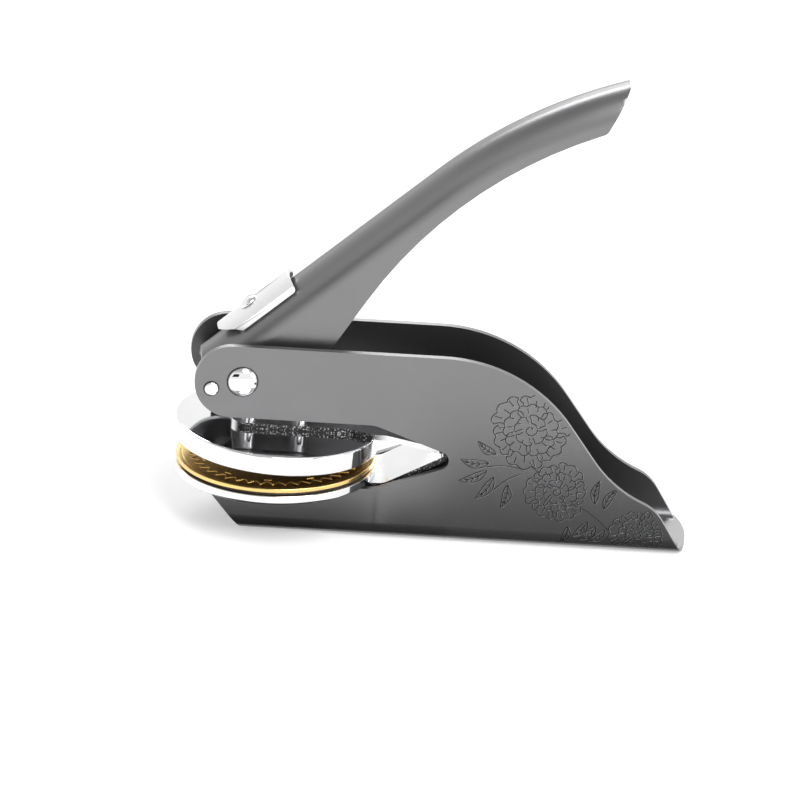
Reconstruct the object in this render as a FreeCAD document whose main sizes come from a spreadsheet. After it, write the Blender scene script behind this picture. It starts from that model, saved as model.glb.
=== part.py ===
import FreeCAD, Part
import Sketcher
import math
import os
import re

# Hand-held seal embosser.  A folded steel channel carries a lever on a cross rivet.  The lever's cam
# pushes a plate and four posts down onto the upper arm of a folded spring clip, which closes the
# counter-die onto the die.  Millimetres.  +X runs to the low tail, -X to the dies, +Z up.  The origin
# is the centre of the underside of the base.

SIZES = [
    # folded channel
    ("base_length", 96.0), ("frame_width", 21.4), ("frame_sheet", 1.6), ("frame_bend", 4.0),
    ("blank_length", 150.0), ("running_gap", 0.06), ("wide_gap", 0.3),
    ("tail_lip", 3.9), ("tail_lip_radius", 29.0),
    ("front_round", 3.0), ("jaw_reach", 56.85), ("jaw_front_height", 10.2), ("jaw_front_round", 0.8),
    ("jaw_rear_x", -19.4), ("jaw_rear_height", 11.8), ("lip_round", 6.0),
    ("throat_x", 0.0), ("throat_height", 19.35), ("throat_round", 2.1),
    ("upper_lip_x", -20.8), ("nose_tip_x", -60.95), ("nose_underside", 26.7), ("frame_top", 43.3),
    ("nose_round", 8.2), ("hump_x", 11.5), ("hump_round", 36.0), ("waist_x", 32.6), ("waist_height", 14.8),
    ("waist_round", 45.0), ("tail_x", 42.4), ("tail_height", 10.5), ("tail_round", 16.0),
    # cross rivet, its bush and spacers, and the stop pin
    ("pivot_x", -50.5), ("pivot_height", 35.2), ("shaft_radius", 2.5), ("head_radius", 3.3),
    ("head_height", 1.5), ("bush_radius", 3.6), ("spacer_radius", 4.4),
    ("pin_x", -57.2), ("pin_height", 33.2), ("pin_radius", 1.5), ("pin_proud", 0.5),
    # lever: measured from the rivet, along the straight lower part (_u) and across it (_v)
    ("lever_angle", 42.6), ("lever_width", 13.6), ("lever_sheet", 1.4), ("crown_radius", 6.0),
    ("lever_top_v", 8.3), ("lever_depth", 19.0), ("sweep_start_u", -16.0),
    ("arch_u", 85.2), ("arch_radius", 108.0), ("arch_end_u", 112.5), ("arch_end_v", -4.4),
    ("over_v", 12.14), ("front_over_u", -0.79), ("over_far_u", 84.0),
    ("tip_over_u", 108.0), ("tip_over_v", 1.2), ("tip_u", 106.6), ("tip_v", -1.9),
    ("tip_low_u", 96.8), ("tip_low_v", -5.85),
    ("tip_round", 2.0), ("belly_u", 64.2), ("belly_v", 6.3), ("belly_radius", 100.0),
    ("heel_u", 16.67), ("heel_v", -8.2), ("heel_round", 6.0),
    ("cam_corner_u", -6.99), ("cam_corner_v", -9.475), ("cam_radius", 7.35),
    ("stop_edge_u", -3.0), ("stop_edge_v", 2.49), ("front_low_u", -6.61), ("front_low_v", 5.81),
    ("slot_width", 2.6),
    # sliding lock on the lever
    ("lock_travel", 4.0), ("lock_sheet", 0.8), ("lock_reach", 4.3), ("lock_crease_rise", 0.6),
    ("lock_apex_rise", 3.44), ("lock_crown_radius", 9.0), ("lock_rear_u", 21.2), ("lock_front_u", 1.7),
    ("lock_shoulder_u", 5.1), ("lock_shoulder_rise", 1.9), ("lock_flange_u", 6.3), ("lock_corner", 0.9),
    ("lock_rivet_u", 10.3), ("lock_head_radius", 2.1), ("lock_head_height", 0.95),
    ("lock_shank_radius", 1.1), ("tongue_sheet", 1.2), ("tongue_width", 3.8), ("tongue_front_u", -2.0),
    ("tongue_rear_u", 14.0),
    # folded clip: measured from the fold, along the closed arms (_u) and across them (_v)
    ("fold_x", -5.4), ("fold_height", 19.8), ("lower_tilt", 3.0), ("rest_opening", 0.4),
    ("clip_sheet", 1.2), ("clip_side_gap", 0.8), ("strap_width", 12.0), ("strap_shoulder_u", -14.0),
    ("strap_taper_u", -20.0), ("bend_u", -12.4), ("fold_radius", 0.9), ("fold_end_u", -0.6),
    ("fold_gap", 0.36), ("clip_round", 4.0), ("lower_front_u", -50.5), ("upper_front_u", -46.3),
    ("lower_strap_v", -7.36), ("upper_strap_v", 3.05), ("strap_end_round", 3.0),
    # dies in their cups
    ("die_u", -36.0), ("cup_radius", 22.0), ("upper_cup_radius", 22.4),
    ("cup_wall", 1.0), ("cup_plate", 1.2),
    ("lower_cup_low_v", -6.76), ("lower_cup_top_v", -4.76), ("lower_cup_floor_v", -5.66),
    ("die_seat_gap", 0.6), ("die_inset", 0.2),
    ("die_under_v", -4.06), ("die_top_v", -3.09),
    ("upper_cup_top_v", 2.45), ("upper_cup_low_v", -1.81), ("upper_wall", 1.5),
    ("counter_gap", 0.9), ("counter_face_v", -2.89),
    ("rivet_radius", 2.3), ("rivet_shank", 1.2), ("rivet_height", 0.9),
    # posts and the plate that the cam bears on
    ("post_radius", 1.0), ("post_mid_u", -36.8), ("post_half_u", 5.5), ("post_half_y", 4.6),
    ("plate_low_v", 6.7), ("plate_top_v", 8.7), ("plate_front_u", -45.6), ("plate_rear_u", -29.2),
    ("plate_width", 15.2),
]

doc = FreeCAD.newDocument("Embosser")
sheet = doc.addObject("Spreadsheet::Sheet", "Sizes")
for row, (alias, number) in enumerate(SIZES, start=1):
    sheet.set("A%d" % row, alias.replace("_", " "))
    sheet.set("B%d" % row, repr(number))
    sheet.setAlias("B%d" % row, alias)
doc.recompute()

WORD = re.compile(r"\b[a-z]+(?:_[a-z]+)+\b")


def bound(expression):
    """The same expression with each alias written as the sheet's own."""
    return WORD.sub(lambda word: "Sizes." + word.group(0), expression)


def value(expression):
    return float(sheet.evalExpression(bound(expression)))


def new_body(label, x="0", y="0", z="0", tilt="0"):
    """A body at (x, y, z); tilt lifts its own +X axis towards +Z, in degrees."""
    body = doc.addObject("PartDesign::Body", label)
    body.Label = label
    put(body, x, y, z, tilt)
    return body


def put(item, x="0", y="0", z="0", tilt="0"):
    turn = FreeCAD.Rotation(FreeCAD.Vector(0, -1, 0), value(tilt))
    item.Placement = FreeCAD.Placement(FreeCAD.Vector(value(x), value(y), value(z)), turn)
    for axis, expression in (("x", x), ("y", y), ("z", z)):
        item.setExpression("Placement.Base." + axis, bound(expression))
    return item


def new_sketch(body, name, role, offset=None):
    """A sketch on one of the body's own origin planes, moved along the plane's normal by offset."""
    sketch = body.newObject("Sketcher::SketchObject", body.Label + "_" + name)
    plane = [item for item in body.Origin.OriginFeatures if item.Role == role][0]
    sketch.AttachmentSupport = [(plane, "")]
    sketch.MapMode = "FlatFace"
    if offset:
        sketch.setExpression("AttachmentOffset.Base.z", bound(offset))
    doc.recompute()
    return sketch


def constrain(sketch, wanted):
    """wanted: (kind, arguments, expression or None); each with an expression is named and bound."""
    made = []
    for kind, arguments, expression in wanted:
        extra = () if expression is None else (value(expression),)
        made.append(Sketcher.Constraint(kind, *(arguments + extra)))
    for index, (kind, _, expression) in zip(sketch.addConstraint(made), wanted):
        if expression is not None:
            label = "%s%d" % (kind, index)
            sketch.renameConstraint(index, label)
            sketch.setExpression("Constraints." + label, bound(expression))


def at(geometry, end, x, y):
    return [("DistanceX", (-1, 1, geometry, end), x), ("DistanceY", (-1, 1, geometry, end), y)]


def outline(sketch, corners, closed=True):
    """Straight lines through corners (x, y, radius), with a tangent arc at each rounded corner."""
    points = [FreeCAD.Vector(value(x), value(y), 0) for x, y, _ in corners]
    count = len(points)
    rounded = [bool(r) and (closed or 0 < i < count - 1) for i, (_, _, r) in enumerate(corners)]
    reach = [0.0] * count
    half = [0.0] * count
    for i in range(count):
        if rounded[i]:
            before = points[i - 1] - points[i]
            after = points[(i + 1) % count] - points[i]
            half[i] = (math.pi - before.getAngle(after)) / 2
            reach[i] = value(corners[i][2]) * math.tan(half[i])
    share = [1.0] * count
    spans = range(count) if closed else range(count - 1)
    for i in spans:
        j = (i + 1) % count
        asked = reach[i] + reach[j]
        room = 0.98 * (points[j] - points[i]).Length
        if asked > room:
            share[i] = min(share[i], room / asked)
            share[j] = min(share[j], room / asked)
    radius = [None] * count
    for i in range(count):
        if rounded[i]:
            radius[i] = corners[i][2]
            if share[i] < 1:
                radius[i] = "min(%s; %.4f)" % (radius[i], value(radius[i]) * share[i])
            reach[i] = value(radius[i]) * math.tan(half[i])

    def towards(i, j):
        step = points[j] - points[i]
        return points[i] + step * (reach[i] / step.Length) if reach[i] else FreeCAD.Vector(points[i])

    lines = {}
    wanted = []
    for i in spans:
        j = (i + 1) % count
        lines[i] = sketch.addGeometry(Part.LineSegment(towards(i, j), towards(j, i)), False)
    for i in range(count):
        before, after = lines.get((i - 1) % count), lines.get(i)
        if not closed and i == 0:
            before = None
        x, y, _ = corners[i]
        if rounded[i]:
            start, end = towards(i, i - 1), towards(i, (i + 1) % count)
            inward = ((start + end) * 0.5 - points[i]).normalize()
            centre = points[i] + inward * (value(radius[i]) / math.cos(half[i]))
            ends, low, high = (1, 2), start - centre, end - centre
            if low.x * high.y < low.y * high.x:
                ends, low, high = (2, 1), high, low
            low, high = math.atan2(low.y, low.x), math.atan2(high.y, high.x)
            if high < low:
                high += 2 * math.pi
            ring = Part.Circle(centre, FreeCAD.Vector(0, 0, 1), value(radius[i]))
            arc = sketch.addGeometry(Part.ArcOfCircle(ring, low, high), False)
            mark = sketch.addGeometry(Part.Point(points[i]), True)
            wanted += [("Tangent", (before, 2, arc, ends[0]), None),
                       ("Tangent", (arc, ends[1], after, 1), None),
                       ("Radius", (arc,), radius[i]),
                       ("PointOnObject", (mark, 1, before), None),
                       ("PointOnObject", (mark, 1, after), None)] + at(mark, 1, x, y)
        elif before is not None and after is not None:
            wanted += [("Coincident", (before, 2, after, 1), None)] + at(after, 1, x, y)
        elif after is not None:
            wanted += at(after, 1, x, y)
        else:
            wanted += at(before, 2, x, y)
    constrain(sketch, wanted)
    doc.recompute()


def circle(sketch, x, y, radius):
    centre = FreeCAD.Vector(value(x), value(y), 0)
    ring = sketch.addGeometry(Part.Circle(centre, FreeCAD.Vector(0, 0, 1), value(radius)), False)
    constrain(sketch, [("Radius", (ring,), radius)] + at(ring, 3, x, y))


def symmetric(feature):
    if "SideType" in feature.PropertiesList:
        feature.SideType = "Symmetric"
    else:
        feature.Midplane = True


def pad(body, sketch, length):
    feature = body.newObject("PartDesign::Pad", sketch.Label + "_pad")
    feature.Profile = sketch
    symmetric(feature)
    feature.setExpression("Length", bound(length))
    doc.recompute()
    return feature


def pocket(body, sketch, length="blank_length"):
    before = body.Shape.Volume
    feature = body.newObject("PartDesign::Pocket", sketch.Label + "_pocket")
    feature.Profile = sketch
    symmetric(feature)
    feature.setExpression("Length", bound(length))
    doc.recompute()
    if not body.Shape.Volume < before:
        raise RuntimeError(sketch.Label + " cuts nothing")
    return feature


def revolve(body, sketch, axis):
    feature = body.newObject("PartDesign::Revolution", sketch.Label + "_turned")
    feature.Profile = sketch
    feature.ReferenceAxis = (sketch, [axis])
    feature.Angle = 360.0
    doc.recompute()
    return feature


def dome(radius, base, height, rising=True):
    """Corners of a rivet's domed head, from its rim to its crown on the axis, or the other way."""
    corners = [("%s * cos(%d)" % (radius, turn), "%s + (%s) * sin(%d)" % (base, height, turn), None)
               for turn in (0, 50)]
    corners.append(("0", "%s + (%s)" % (base, height), None))
    return corners if rising else corners[::-1]


def button(radius, base, height, rising=True):
    """Corners of a small rivet's flat-topped head."""
    corners = [(radius, base, None), ("%s * 0.6" % radius, "%s + (%s)" % (base, height), None),
               ("0", "%s + (%s)" % (base, height), None)]
    return corners if rising else corners[::-1]


def frame_of(x0, x1, z0, z1):
    return [(x0, z0, None), (x1, z0, None), (x1, z1, None), (x0, z1, None)]


def ring_body(label, x, y, z, outer, inner, length):
    """A tube along Y, centred at (x, y, z)."""
    body = new_body(label, x, y, z)
    sketch = new_sketch(body, "section", "XZ_Plane")
    circle(sketch, "0", "0", outer)
    if inner:
        circle(sketch, "0", "0", inner)
    pad(body, sketch, length)
    return body


# ---- folded channel -------------------------------------------------------------------------------
frame = new_body("frame")
section = new_sketch(frame, "section", "YZ_Plane")
outline(section, [
    ("-frame_width / 2", "1.2 * frame_top", None),
    ("-frame_width / 2", "0", "frame_bend"),
    ("frame_width / 2", "0", "frame_bend"),
    ("frame_width / 2", "1.2 * frame_top", None),
    ("frame_width / 2 - frame_sheet", "1.2 * frame_top", None),
    ("frame_width / 2 - frame_sheet", "frame_sheet", "frame_bend - frame_sheet"),
    ("frame_sheet - frame_width / 2", "frame_sheet", "frame_bend - frame_sheet"),
    ("frame_sheet - frame_width / 2", "1.2 * frame_top", None),
])
pad(frame, section, "blank_length")
side = new_sketch(frame, "side", "XZ_Plane")
outline(side, frame_of("-blank_length", "blank_length", "-frame_top", "2 * frame_top"))
outline(side, [
    ("-base_length / 2", "0", "front_round"),
    ("base_length / 2 + tail_lip", "0", None),
    ("base_length / 2 + tail_lip", "frame_sheet", None),
    ("base_length / 2", "frame_sheet", None),
    ("tail_x", "tail_height", "tail_round"),
    ("waist_x", "waist_height", "waist_round"),
    ("hump_x", "frame_top", "hump_round"),
    ("nose_tip_x", "frame_top", "nose_round"),
    ("nose_tip_x", "nose_underside", "nose_round"),
    ("upper_lip_x", "nose_underside", "lip_round"),
    ("throat_x", "throat_height", "throat_round"),
    ("jaw_rear_x", "jaw_rear_height", "lip_round"),
    ("-jaw_reach", "jaw_front_height", "jaw_front_round"),
])
pocket(frame, side)
plan = new_sketch(frame, "plan", "XY_Plane")
outline(plan, frame_of("-blank_length", "blank_length", "-2 * frame_width", "2 * frame_width"))
outline(plan, [
    ("base_length / 2", "-frame_width / 2", None),
    ("base_length / 2 + tail_lip", "0", "tail_lip_radius"),
    ("base_length / 2", "frame_width / 2", None),
    ("base_length / 2", "frame_width", None),
    ("-base_length", "frame_width", None),
    ("-base_length", "-frame_width", None),
    ("base_length / 2", "-frame_width", None),
])
pocket(frame, plan)
holes = new_sketch(frame, "holes", "XZ_Plane")
circle(holes, "pivot_x", "pivot_height", "shaft_radius + running_gap")
circle(holes, "pin_x", "pin_height", "pin_radius + running_gap")
pocket(frame, holes)

# ---- cross rivet with domed heads, its bush and spacers, and the stop pin --------------------------
pivot = ("pivot_x", "0", "pivot_height")
pivot_rivet = new_body("pivot_rivet", *pivot)
turned = new_sketch(pivot_rivet, "section", "XY_Plane")
outline(turned, dome("head_radius", "-frame_width / 2", "-head_height", rising=False) + [
    ("shaft_radius", "-frame_width / 2", None),
    ("shaft_radius", "frame_width / 2", None),
] + dome("head_radius", "frame_width / 2", "head_height"))
revolve(pivot_rivet, turned, "V_Axis")
ring_body("pivot_bush", *pivot, "bush_radius", "shaft_radius + running_gap",
          "lever_width - 2 * lever_sheet - 4 * wide_gap")
SPACER = "(frame_width / 2 - frame_sheet - lever_width / 2 - wide_gap)"
SPACER_Y = "(frame_width / 2 - frame_sheet - %s / 2 - wide_gap / 4)" % SPACER
ring_body("pivot_spacer_near", "pivot_x", "-" + SPACER_Y, "pivot_height",
          "spacer_radius", "shaft_radius + running_gap", SPACER)
ring_body("pivot_spacer_far", "pivot_x", SPACER_Y, "pivot_height",
          "spacer_radius", "shaft_radius + running_gap", SPACER)
stop_pin = new_body("stop_pin", "pin_x", "0", "pin_height")
turned = new_sketch(stop_pin, "section", "XY_Plane")
outline(turned, [
    ("0", "-frame_width / 2 - pin_proud", None),
    ("pin_radius", "-frame_width / 2 - pin_proud", None),
    ("pin_radius", "frame_width / 2 + pin_proud", None),
    ("0", "frame_width / 2 + pin_proud", None),
])
revolve(stop_pin, turned, "V_Axis")

# ---- lever: a crowned channel swept along its back, then cut to its side outline --------------------
lever = new_body("lever_blank", *pivot, "lever_angle")
spine = new_sketch(lever, "spine", "XZ_Plane")
outline(spine, [
    ("sweep_start_u", "lever_top_v", None),
    ("arch_u", "lever_top_v", "arch_radius"),
    ("arch_end_u", "arch_end_v", None),
], closed=False)


def inside(side, turn):
    """A corner of the crown's inner side, in chords about the crown's own corner."""
    reach = "(crown_radius - lever_sheet)"
    return ("%s(lever_width / 2 - crown_radius + %s * cos(%d))" % (side, reach, turn),
            "lever_top_v - crown_radius + %s * sin(%d)" % (reach, turn), None)


section = new_sketch(lever, "section", "YZ_Plane", "sweep_start_u")
outline(section, [
    ("-lever_width / 2", "lever_top_v - lever_depth", None),
    ("-lever_width / 2", "lever_top_v", "crown_radius"),
    ("lever_width / 2", "lever_top_v", "crown_radius"),
    ("lever_width / 2", "lever_top_v - lever_depth", None),
    ("lever_width / 2 - lever_sheet", "lever_top_v - lever_depth", None),
] + [inside("", turn) for turn in (0, 30, 60, 90)] + [inside("-", turn) for turn in (90, 60, 30, 0)] + [
    ("lever_sheet - lever_width / 2", "lever_top_v - lever_depth", None),
])
sweep = lever.newObject("PartDesign::AdditivePipe", "lever_sweep")
sweep.Profile = section
sweep.Spine = spine
doc.recompute()
side = new_sketch(lever, "side", "XZ_Plane")
outline(side, frame_of("-blank_length", "2 * blank_length", "-blank_length", "blank_length"))
outline(side, [
    ("front_over_u", "over_v", None),
    ("front_low_u", "front_low_v", None),
    ("stop_edge_u", "stop_edge_v", None),
    ("cam_corner_u", "cam_corner_v", "cam_radius"),
    ("heel_u", "heel_v", "heel_round"),
    ("belly_u", "belly_v", "belly_radius"),
    ("tip_low_u", "tip_low_v", "tip_round"),
    ("tip_u", "tip_v", None),
    ("tip_over_u", "tip_over_v", None),
    ("over_far_u", "over_v", None),
])
pocket(lever, side)
holes = new_sketch(lever, "holes", "XZ_Plane")
circle(holes, "0", "0", "shaft_radius + running_gap")
pocket(lever, holes)
slot = new_body("lever_slot", *pivot, "lever_angle")
plan = new_sketch(slot, "plan", "XY_Plane", "lever_top_v")
outline(plan, [
    ("lock_rivet_u - lock_travel - wide_gap - slot_width / 2", "-slot_width / 2", "slot_width * 0.48"),
    ("lock_rivet_u + wide_gap + slot_width / 2", "-slot_width / 2", "slot_width * 0.48"),
    ("lock_rivet_u + wide_gap + slot_width / 2", "slot_width / 2", "slot_width * 0.48"),
    ("lock_rivet_u - lock_travel - wide_gap - slot_width / 2", "slot_width / 2", "slot_width * 0.48"),
])
pad(slot, plan, "4 * lever_sheet")
handle = doc.addObject("Part::Cut", "handle")
handle.Label = "handle"
handle.Base = lever
handle.Tool = slot
doc.recompute()

# ---- sliding lock: a creased saddle, a tongue under the crown and the rivet between them ------------
HALF = "(lever_width / 2 - crown_radius + lock_reach)"
SLOPE = "((lock_apex_rise - lock_crease_rise) / %s)" % HALF
STEEP = "sqrt(1 + %s ^ 2)" % SLOPE
APEX = "(lever_top_v + lock_apex_rise - lock_sheet * %s)" % STEEP
LOCK_TOP = "(lever_top_v + lock_apex_rise - lock_crown_radius * (%s - 1))" % STEEP
FLANGE = ("(lever_top_v - crown_radius + wide_gap"
          " + sqrt(crown_radius ^ 2 - (lock_reach - lock_sheet) ^ 2))")
saddle = new_body("lock_slider", *pivot, "lever_angle")
section = new_sketch(saddle, "section", "YZ_Plane", "(lock_front_u + lock_rear_u) / 2")
outline(section, [
    ("-" + HALF, "lever_top_v - lever_depth", None),
    ("-" + HALF, "lever_top_v + lock_crease_rise", None),
    ("0", "lever_top_v + lock_apex_rise", "lock_crown_radius"),
    (HALF, "lever_top_v + lock_crease_rise", None),
    (HALF, "lever_top_v - lever_depth", None),
    (HALF + " - lock_sheet", "lever_top_v - lever_depth", None),
    (HALF + " - lock_sheet", "%s - %s * (%s - lock_sheet)" % (APEX, SLOPE, HALF), None),
    ("0", APEX, "lock_crown_radius - lock_sheet"),
    ("lock_sheet - " + HALF, "%s - %s * (%s - lock_sheet)" % (APEX, SLOPE, HALF), None),
    ("lock_sheet - " + HALF, "lever_top_v - lever_depth", None),
])
pad(saddle, section, "lock_rear_u - lock_front_u + 4 * lock_corner")
side = new_sketch(saddle, "side", "XZ_Plane")
outline(side, frame_of("-blank_length", "blank_length", "-blank_length", "blank_length"))
outline(side, [
    ("lock_front_u", "lever_top_v + 2 * lock_apex_rise", None),
    ("lock_front_u", "lever_top_v + lock_shoulder_rise", None),
    ("lock_shoulder_u", "lever_top_v + lock_crease_rise", None),
    ("lock_flange_u", FLANGE, "lock_corner / 2"),
    ("lock_rear_u", FLANGE, "lock_corner"),
    ("lock_rear_u", "lever_top_v + 2 * lock_apex_rise", None),
])
pocket(saddle, side)
holes = new_sketch(saddle, "holes", "XY_Plane")
circle(holes, "lock_rivet_u", "0", "lock_shank_radius")
pocket(saddle, holes)
TONGUE = "(lever_top_v - lever_sheet - 2 * wide_gap)"
tongue = new_body("lock_tongue", *pivot, "lever_angle")
side = new_sketch(tongue, "side", "XZ_Plane")
outline(side, [
    ("tongue_front_u", TONGUE + " - tongue_sheet", None),
    ("tongue_rear_u", TONGUE + " - tongue_sheet", None),
    ("tongue_rear_u", TONGUE, None),
    ("tongue_front_u", TONGUE, None),
])
pad(tongue, side, "tongue_width")
holes = new_sketch(tongue, "holes", "XY_Plane")
circle(holes, "lock_rivet_u", "0", "lock_shank_radius")
pocket(tongue, holes)
lock_rivet = new_body("lock_rivet", "pivot_x + lock_rivet_u * cos(lever_angle)", "0",
                      "pivot_height + lock_rivet_u * sin(lever_angle)", "lever_angle")
turned = new_sketch(lock_rivet, "section", "XZ_Plane")
outline(turned, [
    ("0", TONGUE + " - tongue_sheet", None),
    ("lock_shank_radius", TONGUE + " - tongue_sheet", None),
    ("lock_shank_radius", LOCK_TOP, None),
] + button("lock_head_radius", LOCK_TOP, "lock_head_height"))
revolve(lock_rivet, turned, "V_Axis")

# ---- folded clip: each arm is a bent strip swept at mid thickness, then narrowed under its cup ------
fold = ("fold_x", "0", "fold_height")
CLIP_HALF = "(frame_width / 2 - frame_sheet - clip_side_gap)"


def clip_arm(label, tilt, path, front):
    arm = new_body(label, *fold, tilt)
    line = new_sketch(arm, "path", "XZ_Plane")
    outline(line, path, closed=False)
    strip = new_sketch(arm, "section", "YZ_Plane", path[0][0])
    middle = path[0][1]
    outline(strip, frame_of("-" + CLIP_HALF, CLIP_HALF,
                            middle + " - clip_sheet / 2", middle + " + clip_sheet / 2"))
    feature = arm.newObject("PartDesign::AdditivePipe", label + "_sweep")
    feature.Profile = strip
    feature.Spine = line
    doc.recompute()
    plan = new_sketch(arm, "plan", "XY_Plane")
    outline(plan, frame_of("-blank_length", "blank_length", "-2 * frame_width", "2 * frame_width"))
    outline(plan, [
        (front, "-strap_width / 2", "strap_end_round"),
        ("strap_taper_u", "-strap_width / 2", None),
        ("strap_shoulder_u", "-%s - clip_side_gap" % CLIP_HALF, None),
        ("strap_width", "-%s - clip_side_gap" % CLIP_HALF, None),
        ("strap_width", "%s + clip_side_gap" % CLIP_HALF, None),
        ("strap_shoulder_u", "%s + clip_side_gap" % CLIP_HALF, None),
        ("strap_taper_u", "strap_width / 2", None),
        (front, "strap_width / 2", "strap_end_round"),
    ])
    circle(plan, "die_u", "0", "rivet_shank")
    pocket(arm, plan)
    return arm


clip_arm("lower_clip_arm", "lower_tilt", [
    ("lower_front_u", "lower_strap_v", None),
    ("bend_u", "lower_strap_v", "clip_round"),
    ("fold_radius", "-fold_radius", "fold_radius"),
    ("fold_radius", "fold_radius", "fold_radius"),
    ("fold_end_u", "fold_radius", None),
], "lower_front_u")
clip_arm("upper_clip_arm", "-rest_opening", [
    ("upper_front_u", "upper_strap_v", None),
    ("bend_u", "upper_strap_v", "clip_round"),
    ("fold_end_u - fold_gap", "fold_radius", None),
], "upper_front_u")


# ---- cups, die and counter-die, turned about the axis of the seal -----------------------------------
def turned_body(label, tilt, corners):
    """corners are (radius from the seal's axis, height across the closed arms, rounding)."""
    body = new_body(label, "fold_x + die_u * cos(%s)" % tilt, "0",
                    "fold_height + die_u * sin(%s)" % tilt, tilt)
    sketch = new_sketch(body, "section", "XZ_Plane")
    outline(sketch, corners)
    revolve(body, sketch, "V_Axis")
    return body


def drill(body):
    sketch = new_sketch(body, "hole", "XY_Plane")
    circle(sketch, "0", "0", "rivet_shank")
    pocket(body, sketch)


lower_cup = turned_body("lower_cup", "lower_tilt", [
    ("0", "lower_cup_low_v", None),
    ("cup_radius", "lower_cup_low_v", None),
    ("cup_radius", "lower_cup_top_v", None),
    ("cup_radius - cup_wall", "lower_cup_top_v", None),
    ("cup_radius - cup_wall", "lower_cup_floor_v", None),
    ("0", "lower_cup_floor_v", None),
])
drill(lower_cup)
turned_body("lower_die", "lower_tilt", [
    ("0", "lower_cup_floor_v", None),
    ("cup_radius - cup_wall - die_seat_gap", "lower_cup_floor_v", None),
    ("cup_radius - cup_wall - die_seat_gap", "die_under_v", None),
    ("cup_radius - die_inset", "die_under_v", None),
    ("cup_radius - die_inset", "die_top_v", None),
    ("0", "die_top_v", None),
])
turned_body("lower_rivet", "lower_tilt", [
    ("rivet_shank", "lower_strap_v - clip_sheet / 2", None),
    ("rivet_shank", "lower_cup_floor_v", None),
    ("0", "lower_cup_floor_v", None),
    ("0", "lower_strap_v - clip_sheet / 2 - rivet_height", None),
    ("rivet_radius", "lower_strap_v - clip_sheet / 2 - rivet_height", None),
    ("rivet_radius", "lower_strap_v - clip_sheet / 2", None),
])
upper_cup = turned_body("upper_cup", "-rest_opening", [
    ("0", "upper_cup_top_v - cup_plate", None),
    ("upper_cup_radius - upper_wall", "upper_cup_top_v - cup_plate", None),
    ("upper_cup_radius - upper_wall", "upper_cup_low_v", None),
    ("upper_cup_radius", "upper_cup_low_v", None),
    ("upper_cup_radius", "upper_cup_top_v", None),
    ("0", "upper_cup_top_v", None),
])
drill(upper_cup)
turned_body("counter_die", "-rest_opening", [
    ("0", "counter_face_v", None),
    ("upper_cup_radius - upper_wall - counter_gap", "counter_face_v", None),
    ("upper_cup_radius - upper_wall - counter_gap", "upper_cup_top_v - cup_plate", None),
    ("0", "upper_cup_top_v - cup_plate", None),
])
turned_body("upper_rivet", "-rest_opening", [
    ("0", "upper_cup_top_v - cup_plate", None),
    ("rivet_shank", "upper_cup_top_v - cup_plate", None),
    ("rivet_shank", "upper_strap_v + clip_sheet / 2", None),
] + button("rivet_radius", "upper_strap_v + clip_sheet / 2", "rivet_height"))

# ---- four posts and the plate that the cam bears on -------------------------------------------------
POST = "(plate_low_v - upper_strap_v - clip_sheet / 2)"
for label, along, across in (("post_front_near", "-", "-"), ("post_front_far", "-", ""),
                             ("post_rear_near", "", "-"), ("post_rear_far", "", "")):
    post = new_body(label, *fold, "-rest_opening")
    sketch = new_sketch(post, "section", "XY_Plane", POST + " / 2 + upper_strap_v + clip_sheet / 2")
    circle(sketch, "post_mid_u + (%spost_half_u)" % along, across + "post_half_y", "post_radius")
    pad(post, sketch, POST)
plate = new_body("pressure_plate", *fold, "-rest_opening")
side = new_sketch(plate, "side", "XZ_Plane")
outline(side, [
    ("plate_front_u", "plate_low_v", None),
    ("plate_rear_u", "plate_low_v", None),
    ("plate_rear_u", "plate_top_v", None),
    ("plate_front_u", "plate_top_v", None),
])
pad(plate, side, "plate_width")

# ---- checks and export -------------------------------------------------------------------------------
doc.recompute()
NODES = ["frame", "pivot_rivet", "pivot_bush", "pivot_spacer_near", "pivot_spacer_far", "stop_pin",
         "lower_clip_arm", "lower_cup", "lower_die", "lower_rivet",
         "handle", "lock_slider", "lock_tongue", "lock_rivet",
         "upper_clip_arm", "upper_cup", "counter_die", "upper_rivet",
         "post_front_near", "post_front_far", "post_rear_near", "post_rear_far", "pressure_plate"]
for item in doc.Objects:
    if "Invalid" in item.State or "Error" in item.State:
        raise RuntimeError("%s failed: %s" % (item.Label, item.State))
    if item.TypeId == "Sketcher::SketchObject" and item.solve() != 0:
        raise RuntimeError("%s doesn't solve" % item.Label)
os.makedirs("parts", exist_ok=True)
shapes = {}
for node in NODES:
    shape = doc.getObjectsByLabel(node)[0].Shape
    if shape.isNull() or not shape.isValid() or len(shape.Solids) != 1:
        raise RuntimeError("%s has no single valid solid" % node)
    shapes[node] = shape
for node, shape in shapes.items():
    shape.exportStep("parts/%s.step" % node)
    box = shape.BoundBox
    print("%-20s %8.1f mm3  X %.1f..%.1f  Y %.1f..%.1f  Z %.1f..%.1f" % (
        node, shape.Volume, box.XMin, box.XMax, box.YMin, box.YMax, box.ZMin, box.ZMax))
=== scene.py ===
import math
import bpy
from mathutils import Matrix, Vector


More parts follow.
